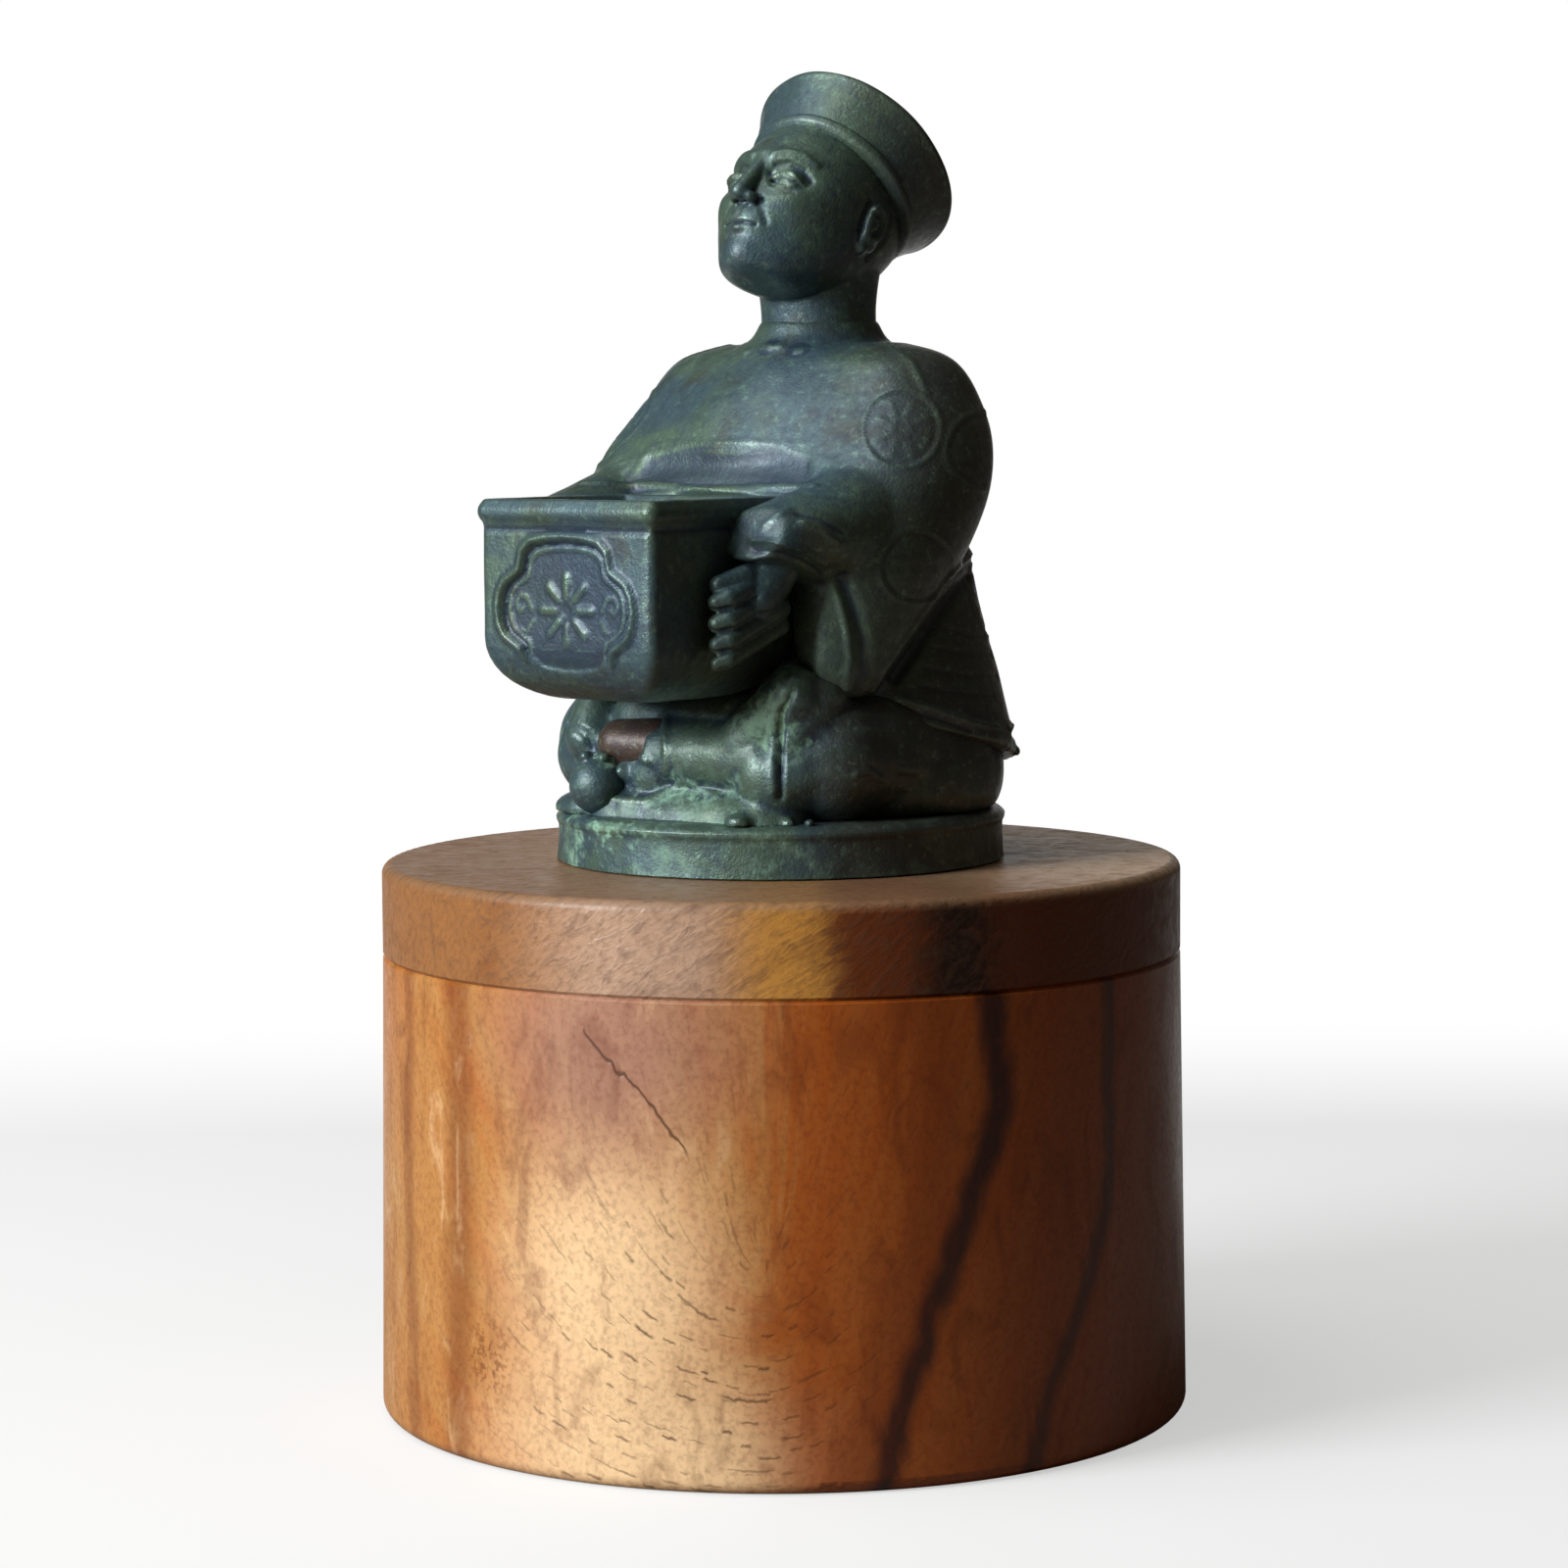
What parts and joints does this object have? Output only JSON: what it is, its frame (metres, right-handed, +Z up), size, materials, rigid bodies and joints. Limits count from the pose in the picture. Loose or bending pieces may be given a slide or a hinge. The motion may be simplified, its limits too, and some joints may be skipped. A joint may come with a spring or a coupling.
{
  "type": "trinket box",
  "caption": "Round turned wooden box with a lift-off lid; a seated bronze figure holding a square tub is fixed on the lid.",
  "frame": {"origin": "centre of the box's foot, on the surface it stands on", "axes": "+Z up along the turning axis of the box, the figure faces -Y, and its left side is +X"},
  "size_m": [0.1016, 0.1016, 0.1666],
  "materials": {
    "wood": "waxed, semi-matt",
    "bronze": "dark green-brown patina, semi-matt",
    "screw_brass": "plain turned brass"
  },
  "bodies": {
    "box": {"box_body": "wood"},
    "lid": {"lid": "wood", "lid_screws": "screw_brass", "screw_washers": "screw_brass", "plinth": "bronze", "legs": "bronze", "left_shoe": "bronze", "right_shoe": "bronze", "jacket": "bronze", "left_sleeve": "bronze", "right_sleeve": "bronze", "left_hand": "bronze", "right_hand": "bronze", "tub": "bronze", "head": "bronze", "cap": "bronze"}
  },
  "joints": [
    {"name": "lid_lift", "type": "slide", "parent": "box", "child": "lid", "axis": [0, 0, 1], "range_m": [0, 0.07]}
  ]
}
